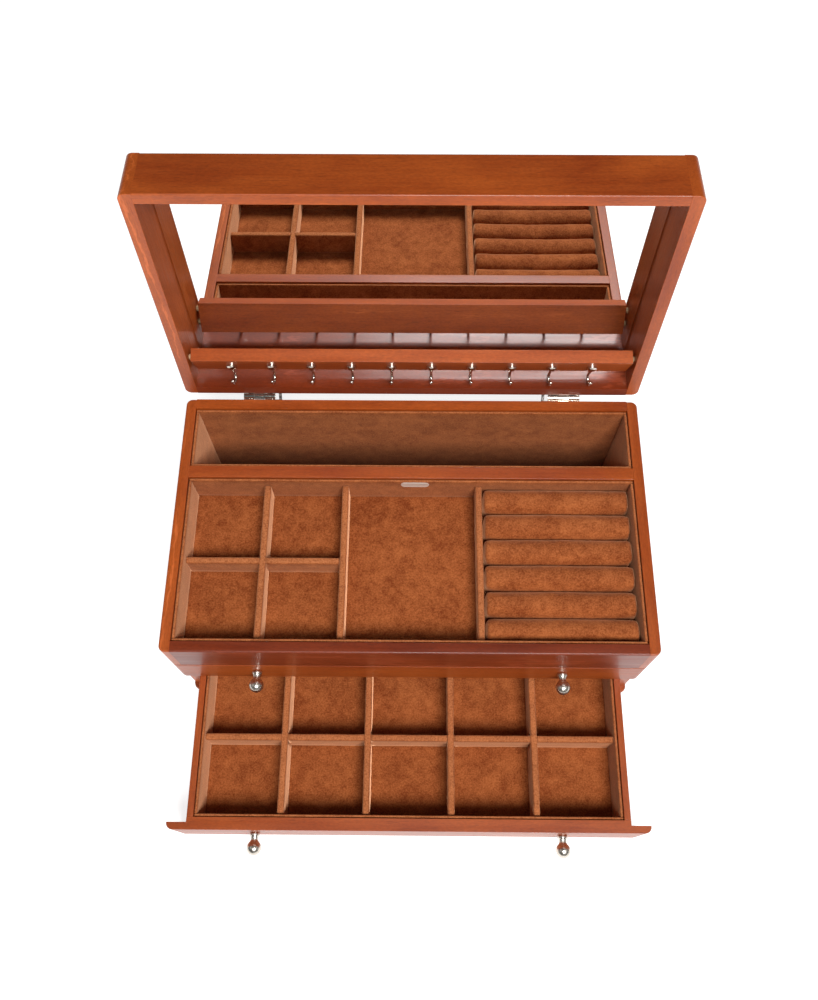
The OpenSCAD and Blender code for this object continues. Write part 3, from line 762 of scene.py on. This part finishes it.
def roll_form(bm, low, high, shrink):
    """The padded roll before it swells: a tube with a flat dome, straight sides and slightly tucked ends."""
    middle = (low.y + high.y) / 2
    radius = (high.y - low.y) / 2 - shrink
    top = high.z - shrink
    profile = []
    floor_round = 1.5 * MM
    for i in range(17):
        angle = math.pi * i / 16
        across, up = math.cos(angle), math.sin(angle) ** 0.72
        across = math.copysign(abs(across) ** 0.72, across)
        profile.append((middle - radius * across, top - radius + radius * up))
    for z in (0.55, 0.25):
        profile.append((middle + radius, low.z + (top - radius - low.z) * z))
    profile.append((middle + radius - floor_round * 0.3, low.z + floor_round * 0.3))
    profile.append((middle + radius - floor_round, low.z))
    profile.append((middle, low.z))
    profile.append((middle - radius + floor_round, low.z))
    profile.append((middle - radius + floor_round * 0.3, low.z + floor_round * 0.3))
    for z in (0.25, 0.55):
        profile.append((middle - radius, low.z + (top - radius - low.z) * z))
    tuck = 1.8 * MM
    rows = [0.0, 0.25 * MM, 0.8 * MM, tuck]
    length = high.x - low.x - 2 * shrink
    count = max(2, round((length - 2 * tuck) / (4 * MM)))
    spots = rows + [tuck + (length - 2 * tuck) * i / count for i in range(1, count)]
    spots += [length - r for r in reversed(rows)]
    rings = []
    for spot in spots:
        edge = min(spot, length - spot)
        t = min(1.0, edge / tuck)
        pull = 1.0 - math.sqrt(max(0.0, 1.0 - (1.0 - t) ** 2))
        ring = []
        for y, z in profile:
            inward = pull * 1.3 * MM
            y2 = middle + (y - middle) * (1 - inward / radius)
            z2 = z - inward * max(0.0, (z - low.z) / (high.z - low.z))
            ring.append(bm.verts.new((low.x + shrink + spot, y2, z2)))
        rings.append(ring)
    n = len(profile)
    for a, b in zip(rings, rings[1:]):
        for i in range(n):
            bm.faces.new((a[i], a[(i + 1) % n], b[(i + 1) % n], b[i]))
    bm.faces.new(rings[0])
    bm.faces.new(rings[-1])


def swell(obj, voxel, limit, held_below):
    """Blows a closed form up as cloth, ten times as large. No point moves further than limit."""
    scale = 10.0
    obj.data.transform(Matrix.Scale(scale, 4))
    remesh = obj.modifiers.new("even mesh", "REMESH")
    remesh.mode = "VOXEL"
    remesh.voxel_size = voxel * scale
    name = obj.name
    mesh = evaluated_mesh(obj)
    obj = bpy.data.objects.new(name, mesh)
    scene = bpy.context.scene
    scene.collection.objects.link(obj)
    start = [v.co.copy() for v in mesh.vertices]
    held = obj.vertex_groups.new(name="held")
    held.add([v.index for v in mesh.vertices if v.co.z < held_below * scale], 1.0, "REPLACE")
    cloth = obj.modifiers.new("cover", "CLOTH")
    cloth.settings.quality = 5
    cloth.settings.mass = 0.3
    cloth.settings.tension_stiffness = 20
    cloth.settings.compression_stiffness = 20
    cloth.settings.shear_stiffness = 8
    cloth.settings.bending_stiffness = 1.5
    cloth.settings.use_pressure = True
    cloth.settings.uniform_pressure_force = 4.0
    cloth.settings.vertex_group_mass = "held"
    cloth.settings.effector_weights.gravity = 0.0
    cloth.point_cache.frame_start = 1
    cloth.point_cache.frame_end = 20
    for number in range(1, 21):
        scene.frame_set(number)
    graph = bpy.context.evaluated_depsgraph_get()
    after = obj.evaluated_get(graph).to_mesh()
    ends = [v.co.copy() for v in after.vertices]
    obj.evaluated_get(graph).to_mesh_clear()
    obj.modifiers.remove(cloth)
    for vertex, a, b in zip(mesh.vertices, start, ends):
        way = b - a
        most = limit * scale
        vertex.co = a + (way if way.length < most else way.normalized() * most)
    mesh.transform(Matrix.Scale(1 / scale, 4))
    scene.frame_set(1)
    obj.vertex_groups.clear()
    return obj


# ---- Operators, one for each piece or group of like pieces ----

CASE_BOARDS = (
    ("left_side", "Y", "lacquered_wood", "wood"),
    ("right_side", "Y", "lacquered_wood", "wood"),
    ("back_panel", "X", "lacquered_wood", "wood"),
    # the front apron takes the painted front shade
    ("front_apron", "X", "deep_lacquer", "wood"),
    ("well_partition", "X", "lacquered_wood", "wood"),
    ("base_board", "X", "lacquered_wood", "wood_inner"),
    ("drawer_shelf", "X", "inner_board", "wood_inner"),
    ("tray_board", "X", "inner_board", "wood_inner"),
    ("upper_guides", "Y", "inner_board", "wood_inner"),
    ("lower_guides", "Y", "inner_board", "wood_inner"),
)
LID_BOARDS = (
    ("lid_top_panel", "X", "lacquered_wood", "wood"),
    ("lid_front_rail", "X", "lacquered_wood", "wood"),
    # the back rail faces the front when the lid is open, and takes the painted front shade
    ("lid_back_rail", "X", "deep_lacquer", "wood"),
    ("lid_left_rail", "Y", "lacquered_wood", "wood"),
    ("lid_right_rail", "Y", "lacquered_wood", "wood"),
)
DRAWER_BOARDS = (
    ("_sides", "Y", "lacquered_wood", "wood"),
    ("_back", "X", "lacquered_wood", "wood"),
    ("_bottom", "X", "inner_board", "wood_inner"),
)


class JEWELRY_OT_case_boards(Operator):
    """Builds the boards of the case with eased edges and grain"""

    bl_idname = "jewelry.case_boards"
    bl_label = "Case boards"

    def execute(self, context):
        wood = context.scene.jewelry_wood
        boards(CASE_BOARDS, (wood.outer_edge, wood.inner_edge, wood.seam_edge))
        return {"FINISHED"}


class JEWELRY_OT_lid_boards(Operator):
    """Builds the rails and the top panel of the lid"""

    bl_idname = "jewelry.lid_boards"
    bl_label = "Lid boards"

    def execute(self, context):
        wood = context.scene.jewelry_wood
        boards(LID_BOARDS, (wood.outer_edge, wood.inner_edge, wood.seam_edge))
        return {"FINISHED"}


class JEWELRY_OT_hook_bar(Operator):
    """Builds the leaning bar that carries the necklace hooks, and its dowels"""

    bl_idname = "jewelry.hook_bar"
    bl_label = "Hook bar"

    def execute(self, context):
        wood = context.scene.jewelry_wood
        board("hook_bar.wood", "hook_bar", "X", [], (wood.outer_edge, wood.outer_edge, wood.seam_edge))
        board("hook_bar_dowels.wood", "hook_bar_dowels", "X", [],
              (wood.seam_edge,) * 3, "beech_dowel")
        return {"FINISHED"}


class JEWELRY_OT_drawer_boards(Operator):
    """Builds the fronts and boxes of both drawers"""

    bl_idname = "jewelry.drawer_boards"
    bl_label = "Drawer boards"

    def execute(self, context):
        wood = context.scene.jewelry_wood
        for drawer in ("upper_drawer", "lower_drawer"):
            table = [(drawer + part, *rest) for part, *rest in DRAWER_BOARDS]
            boards(table, (wood.inner_edge, wood.inner_edge, wood.seam_edge))
            board(drawer + "_front.wood", drawer + "_front", "X", [],
                  (0.8 * MM, 0.8 * MM, wood.seam_edge))
        return {"FINISHED"}


class JEWELRY_OT_felt(Operator):
    """Builds the felt under the case"""

    bl_idname = "jewelry.felt"
    bl_label = "Felt base"

    def execute(self, context):
        low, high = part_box("felt_base")
        stray = wavy(0.05 * MM, 5, 20 * MM)

        def shape(p):
            return p if p.z < low.z + 0.0006 else p + Vector((stray(p).x, stray(p).y, 0))

        bm = bmesh.new()
        slab(bm, low, high, 0.3 * MM, 12 * MM, shape=shape)
        add_object("felt_base.felt", mesh_from(bm), "dark_felt", "felt_base")
        return {"FINISHED"}


class JEWELRY_OT_well(Operator):
    """Builds the suede walls and floor of the deep rear well"""

    bl_idname = "jewelry.well"
    bl_label = "Well lining"

    def execute(self, context):
        look = context.scene.jewelry_suede
        lining_walls("well_lining.suede", "well_lining", look)
        low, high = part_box("well_floor_pad")
        pad("well_floor.suede", "well_floor_pad", [(low.x, low.y, high.x, high.y)], look)
        return {"FINISHED"}


class JEWELRY_OT_tray(Operator):
    """Builds the suede walls, floor and dividers of the tray"""

    bl_idname = "jewelry.tray"
    bl_label = "Tray lining"

    def execute(self, context):
        look = context.scene.jewelry_suede
        lining_walls("tray_lining.suede", "tray_lining", look)
        low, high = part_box("tray_floor_pad")
        long_spots = divider_spots("tray_long_dividers", 0)
        small = divider_spots("tray_small_divider", 0)[0]
        cross = divider_spots("tray_cross_divider", 1)[0]
        cells = [c for c in cell_grid(low, high, [small, *long_spots], [cross]) if c[2] < long_spots[0]]
        cells += [
            (a, low.y, b, high.y)
            for a, _, b, _ in cell_grid(low, high, long_spots, [])
            if a > long_spots[0] - DIVIDER_T
        ]
        pad("tray_floor.suede", "tray_floor_pad", cells, look)
        half = DIVIDER_T / 2
        bm = bmesh.new()
        a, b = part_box("tray_long_dividers")
        for i, x in enumerate(long_spots):
            divider(bm, (x - half, a.y, a.z), (x + half, b.y, b.z), look, 11 + i)
        suede_piece("tray_long_dividers.suede", "tray_long_dividers", bm, b.z, DIVIDER_WEAR, 0.5)
        middle = (a.z + b.z) / 2
        bm = bmesh.new()
        a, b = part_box("tray_small_divider")
        divider(bm, a, b, look, 23, [cross], notch_low=middle, axis=1)
        suede_piece("tray_small_divider.suede", "tray_small_divider", bm, b.z, DIVIDER_WEAR, 0.5)
        bm = bmesh.new()
        a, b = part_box("tray_cross_divider")
        divider(bm, a, b, look, 31, [small], notch_high=middle, axis=0)
        suede_piece("tray_cross_divider.suede", "tray_cross_divider", bm, b.z, DIVIDER_WEAR, 0.5)
        return {"FINISHED"}


class JEWELRY_OT_ring_rolls(Operator):
    """Builds the padded ring rolls, swollen as cloth"""

    bl_idname = "jewelry.ring_rolls"
    bl_label = "Ring rolls"

    def execute(self, context):
        look = context.scene.jewelry_suede
        for node in sorted(n for n in NODES if n.startswith("ring_roll_")):
            low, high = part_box(node)
            bm = bmesh.new()
            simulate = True
            roll_form(bm, low, high, 0.9 * MM if simulate else 0.05 * MM)
            mesh = mesh_from(bm)
            rough = bpy.data.objects.new(node, mesh)
            context.scene.collection.objects.link(rough)
            if simulate:
                rough = swell(rough, look.roll_voxel, look.roll_swell, low.z + 3 * MM)
            mesh = rough.data
            stray = wavy(0.30 * MM, seed_of(node), 17 * MM)
            ease = wavy(0.22 * MM, seed_of(node) + 3, 5 * MM)
            for vertex in mesh.vertices:
                p = vertex.co + stray(vertex.co) + ease(vertex.co)
                vertex.co = (
                    min(max(p.x, low.x), high.x),
                    min(max(p.y, low.y), high.y),
                    min(max(p.z, low.z), high.z + 0.6 * MM),
                )
            rough.modifiers.new("soft cover", "SUBSURF").levels = 1
            mesh = evaluated_mesh(rough)
            mesh.polygons.foreach_set("use_smooth", [True] * len(mesh.polygons))
            mark_worn(mesh, high.z, 5 * MM, 0.12)
            made = add_object(node + ".suede", mesh, "brushed_suede", node)
        return {"FINISHED"}


PLATE_STEPS = (  # (inset from the outline in mm, share of the thickness behind the front)
    (0.0, 1.0), (0.0, 0.25), (0.12, 0.06), (0.3, 0.0), (0.55, 0.0), (0.7, 0.16), (0.9, 0.2),
)
TURNS = 64  # mesh segments round the plate


class JEWELRY_OT_name_plate(Operator):
    """Builds the small blank plate on the tray's back lining"""

    bl_idname = "jewelry.name_plate"
    bl_label = "Name plate"

    def execute(self, context):
        low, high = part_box("name_plate")
        middle = (low + high) / 2
        half_w, half_h = (high.x - low.x) / 2, (high.z - low.z) / 2
        bm = bmesh.new()
        rings = []
        for inset, depth in PLATE_STEPS:
            ring = []
            for i in range(TURNS):
                angle = 2 * math.pi * i / TURNS
                r = half_h - inset * MM
                cx = (half_w - half_h) * (1 if math.cos(angle) > 0 else -1)
                if abs(math.cos(angle)) < 1e-6:
                    cx = 0.0
                ring.append(bm.verts.new((
                    middle.x + cx + r * math.cos(angle),
                    low.y + depth * (high.y - low.y),
                    middle.z + r * math.sin(angle),
                )))
            rings.append(ring)
        for a, b in zip(rings, rings[1:]):
            for i in range(TURNS):
                bm.faces.new((a[i], a[(i + 1) % TURNS], b[(i + 1) % TURNS], b[i]))
        bm.faces.new(rings[0])
        bm.faces.new(rings[-1])
        mesh = mesh_from(bm)
        mesh.set_sharp_from_angle(angle=math.radians(35))
        add_object("name_plate.metal", mesh, "plate_nickel", "name_plate")
        return {"FINISHED"}


class JEWELRY_OT_drawer_linings(Operator):
    """Builds the suede linings, floors and dividers of both drawers"""

    bl_idname = "jewelry.drawer_linings"
    bl_label = "Drawer linings"

    def execute(self, context):
        look = context.scene.jewelry_suede
        long_nodes = {"upper_drawer": "upper_drawer_dividers", "lower_drawer": "lower_long_dividers"}
        for drawer, long_node in long_nodes.items():
            lining_walls(drawer + "_lining.suede", drawer + "_lining", look)
            low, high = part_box(drawer + "_pad")
            spots = divider_spots(long_node, 0)
            crossing = []
            if drawer == "lower_drawer":
                crossing = divider_spots("lower_cross_divider", 1)
            pad(drawer + "_floor.suede", drawer + "_pad", cell_grid(low, high, spots, crossing), look)
            half = DIVIDER_T / 2
            a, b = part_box(long_node)
            middle = (a.z + b.z) / 2
            bm = bmesh.new()
            for i, x in enumerate(spots):
                divider(bm, (x - half, a.y, a.z), (x + half, b.y, b.z), look, 41 + i,
                        crossing, notch_low=middle if crossing else None, axis=1)
            suede_piece(long_node + ".suede", long_node, bm, b.z, DIVIDER_WEAR, 0.5)
            if crossing:
                bm = bmesh.new()
                a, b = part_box("lower_cross_divider")
                divider(bm, a, b, look, 61, spots, notch_high=middle, axis=0)
                suede_piece("lower_cross_divider.suede", "lower_cross_divider", bm, b.z, DIVIDER_WEAR, 0.5)
        return {"FINISHED"}


class JEWELRY_OT_mirror(Operator):
    """Builds the mirror with its narrow ground edge"""

    bl_idname = "jewelry.mirror"
    bl_label = "Mirror"

    def execute(self, context):
        bm = welded("lid_mirror")
        bmesh.ops.bevel(bm, geom=list(bm.edges), offset=0.45 * MM, segments=2, profile=0.5, affect="EDGES")
        mesh = mesh_from(bm, smooth=False)
        add_object("lid_mirror.glass", mesh, "silvered_glass", "lid_mirror")
        return {"FINISHED"}


KNOB_PROFILE = (  # (radius, distance from the drawer face) in mm, up to the ball
    (0.0, 0.0), (2.75, 0.0), (3.2, 0.12), (3.48, 0.45), (3.5, 0.9), (3.5, 1.7), (3.42, 2.05), (3.2, 2.3),
    (3.02, 2.55), (2.84, 2.95), (2.7, 3.5), (2.62, 4.1), (2.6, 4.7), (2.62, 5.15),
)


class JEWELRY_OT_knobs(Operator):
    """Builds the turned knobs of both drawers"""

    bl_idname = "jewelry.knobs"
    bl_label = "Knobs"

    def execute(self, context):
        turns = context.scene.jewelry_metal.knob_turns
        for node in ("upper_knobs", "lower_knobs"):
            low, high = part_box(node)
            ball = (high.z - low.z) / 2
            middle_z = (high.z + low.z) / 2
            reach = (high.y - low.y) - ball
            profile = [(r * MM, d * MM) for r, d in KNOB_PROFILE]
            start = math.asin(min(1.0, profile[-1][0] / ball))
            for i in range(1, 19):
                angle = start + (math.pi - start) * i / 18
                profile.append((ball * math.sin(angle), reach - ball * math.cos(angle)))
            bm = bmesh.new()
            for x in (low.x + ball, high.x - ball):
                rings = []
                for radius, away in profile:
                    if radius < 1e-7:
                        rings.append([bm.verts.new((x, high.y - away, middle_z))])
                        continue
                    rings.append([
                        bm.verts.new((
                            x + radius * math.cos(2 * math.pi * i / turns),
                            high.y - away,
                            middle_z + radius * math.sin(2 * math.pi * i / turns),
                        ))
                        for i in range(turns)
                    ])
                for a, b in zip(rings, rings[1:]):
                    for i in range(turns):
                        j = (i + 1) % turns
                        if len(a) == 1:
                            bm.faces.new((a[0], b[j], b[i]))
                        elif len(b) == 1:
                            bm.faces.new((a[i], a[j], b[0]))
                        else:
                            bm.faces.new((a[i], a[j], b[j], b[i]))
            mesh = mesh_from(bm)
            mesh.set_sharp_from_angle(angle=math.radians(50))
            add_object(node + ".metal", mesh, "satin_nickel", node)
        return {"FINISHED"}


class JEWELRY_OT_hooks(Operator):
    """Gives the necklace hooks their bright plate"""

    bl_idname = "jewelry.hooks"
    bl_label = "Necklace hooks"

    def execute(self, context):
        keep_node("necklace_hooks", "bright_nickel")
        return {"FINISHED"}


def keep_node(node, material):
    """Keeps a CAD node as it is and gives it a finished material."""
    obj = NODES[node]
    obj.data.materials.clear()
    obj.data.materials.append(finish_named(material))
    return obj


class JEWELRY_OT_hinges(Operator):
    """Gives the hinge leaves and pins their plate, and eases the leaves' edges"""

    bl_idname = "jewelry.hinges"
    bl_label = "Hinges"

    def execute(self, context):
        for node in ("case_hinge_leaves", "lid_hinge_leaves"):
            bm = welded(node)
            mesh = mesh_from(bm)
            rough = bpy.data.objects.new(node, mesh)
            context.scene.collection.objects.link(rough)
            ease = rough.modifiers.new("eased edges", "BEVEL")
            ease.limit_method = "ANGLE"
            ease.angle_limit = math.radians(40)
            ease.width = 0.14 * MM
            ease.segments = 2
            mesh = evaluated_mesh(rough)
            mesh.polygons.foreach_set("use_smooth", [True] * len(mesh.polygons))
            made = add_object(node + ".metal", mesh, "bright_nickel", node)
            mesh.materials.append(finish_named("dark_steel"))
            for face in mesh.polygons:  # the stop fingers are plain dark steel
                on_finger = node == "lid_hinge_leaves" and FINGER_X[0] < abs(face.center.x) < FINGER_X[1]
                face.material_index = int(on_finger)
            shade = made.modifiers.new("flat sides", "WEIGHTED_NORMAL")
            shade.weight = 90
            shade.keep_sharp = True
        keep_node("hinge_pins", "plain_steel")
        return {"FINISHED"}


class JEWELRY_OT_screws(Operator):
    """Gives the screws their steel"""

    bl_idname = "jewelry.screws"
    bl_label = "Screws"

    def execute(self, context):
        for node in ("case_hinge_screws", "lid_hinge_screws", "upper_knob_screws", "lower_knob_screws"):
            keep_node(node, "plain_steel")
        return {"FINISHED"}


def area_light(name, place, aim, size, power):
    data = bpy.data.lights.new(name, "AREA")
    data.shape = "RECTANGLE"
    data.size, data.size_y = size
    data.energy = power
    made = bpy.data.objects.new(name, data)
    made.location = place
    made.rotation_euler = (Vector(aim) - Vector(place)).to_track_quat("-Z", "Y").to_euler()
    bpy.context.scene.collection.objects.link(made)
    return made


class JEWELRY_OT_stage(Operator):
    """Builds the floor, the lights and the camera"""

    bl_idname = "jewelry.stage"
    bl_label = "Stage"

    def execute(self, context):
        scene = context.scene
        look = scene.jewelry_stage
        bm = bmesh.new()
        bmesh.ops.create_grid(bm, x_segments=2, y_segments=2, size=6.0)
        floor = add_stage_object("floor", mesh_from(bm), floor_material(look))
        world = bpy.data.worlds.new("studio")
        world.use_nodes = True
        background = world.node_tree.nodes["Background"]
        background.inputs["Color"].default_value = (1.0, 1.0, 1.0, 1.0)
        background.inputs["Strength"].default_value = look.sky
        scene.world = world
        aim = (0.0, 0.0, 0.12)
        area_light("key_light", (0.30, -0.95, 1.60), aim, (0.80, 0.60), look.key_power)
        area_light("left_light", (-1.25, -0.25, 1.15), aim, (0.9, 0.9), look.side_power)
        area_light("right_light", (1.25, -0.25, 1.15), aim, (0.9, 0.9), look.side_power)
        camera_data = bpy.data.cameras.new("camera")
        camera_data.lens = look.lens
        camera_data.sensor_width = 36.0
        camera_data.sensor_fit = "AUTO"
        camera_data.clip_start, camera_data.clip_end = 0.01, 50.0
        camera = bpy.data.objects.new("camera", camera_data)
        down, yaw, roll = look.camera_down, look.camera_yaw, look.camera_roll
        ahead = Vector((math.sin(yaw) * math.cos(down), math.cos(yaw) * math.cos(down), -math.sin(down)))
        right = Vector((math.cos(yaw), -math.sin(yaw), 0.0))
        up = right.cross(ahead)
        leaning = math.cos(roll) * right + math.sin(roll) * up
        upright = -math.sin(roll) * right + math.cos(roll) * up
        turn = Matrix((leaning, upright, -ahead)).transposed()
        camera.matrix_world = Matrix.Translation(Vector(look.camera_at)) @ turn.to_4x4()
        scene.collection.objects.link(camera)
        scene.camera = camera
        scene.view_settings.view_transform = "Standard"
        return {"FINISHED"}


def floor_material(look):
    s = Shader("pale_floor", roughness=0.9, specular_ior_level=0.1, emission_strength=look.floor_glow)
    s.principled.inputs["Emission Color"].default_value = (1.0, 1.0, 1.0, 1.0)
    haze = s.noise(s.own_place(), 3.0, 2.0, 0.5)
    low = tuple(c * 0.985 for c in look.floor_color)
    s.link(s.blend(s.spread(haze, 0.3, 0.7), low, tuple(look.floor_color)), s.principled.inputs["Base Color"])
    return s.material


def add_stage_object(name, mesh, material):
    made = bpy.data.objects.new(name, mesh)
    mesh.materials.append(material)
    bpy.context.scene.collection.objects.link(made)
    return made


STEPS = (
    JEWELRY_OT_case_boards,
    JEWELRY_OT_lid_boards,
    JEWELRY_OT_hook_bar,
    JEWELRY_OT_drawer_boards,
    JEWELRY_OT_felt,
    JEWELRY_OT_well,
    JEWELRY_OT_tray,
    JEWELRY_OT_ring_rolls,
    JEWELRY_OT_name_plate,
    JEWELRY_OT_drawer_linings,
    JEWELRY_OT_mirror,
    JEWELRY_OT_knobs,
    JEWELRY_OT_hooks,
    JEWELRY_OT_hinges,
    JEWELRY_OT_screws,
    JEWELRY_OT_stage,
)


class JEWELRY_PT_panel(Panel):
    """Lists the sizes, colours and build steps"""

    bl_idname = "JEWELRY_PT_panel"
    bl_label = "Jewelry Box"
    bl_space_type = "VIEW_3D"
    bl_region_type = "UI"
    bl_category = "Jewelry Box"

    def draw(self, context):
        layout = self.layout
        scene = context.scene
        for group in (scene.jewelry_wood, scene.jewelry_suede, scene.jewelry_metal, scene.jewelry_stage):
            box = layout.box()
            for name in group.bl_rna.properties.keys():
                if name not in ("rna_type", "name"):
                    box.prop(group, name)
        for step in STEPS:
            layout.operator(step.bl_idname)


GROUPS = (
    ("jewelry_wood", WoodFinish),
    ("jewelry_suede", SuedeFinish),
    ("jewelry_metal", MetalFinish),
    ("jewelry_stage", StageLook),
)
CLASSES = (*(group for _, group in GROUPS), *STEPS, JEWELRY_PT_panel)


def register():
    for cls in CLASSES:
        bpy.utils.register_class(cls)
    for name, group in GROUPS:
        setattr(bpy.types.Scene, name, PointerProperty(type=group))


def unregister():
    for name, _ in GROUPS:
        delattr(bpy.types.Scene, name)
    for cls in reversed(CLASSES):
        bpy.utils.unregister_class(cls)


def main():
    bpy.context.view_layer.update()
    register()
    for step in STEPS:
        group, name = step.bl_idname.split(".")
        getattr(getattr(bpy.ops, group), name)()


if __name__ == "__main__":
    main()
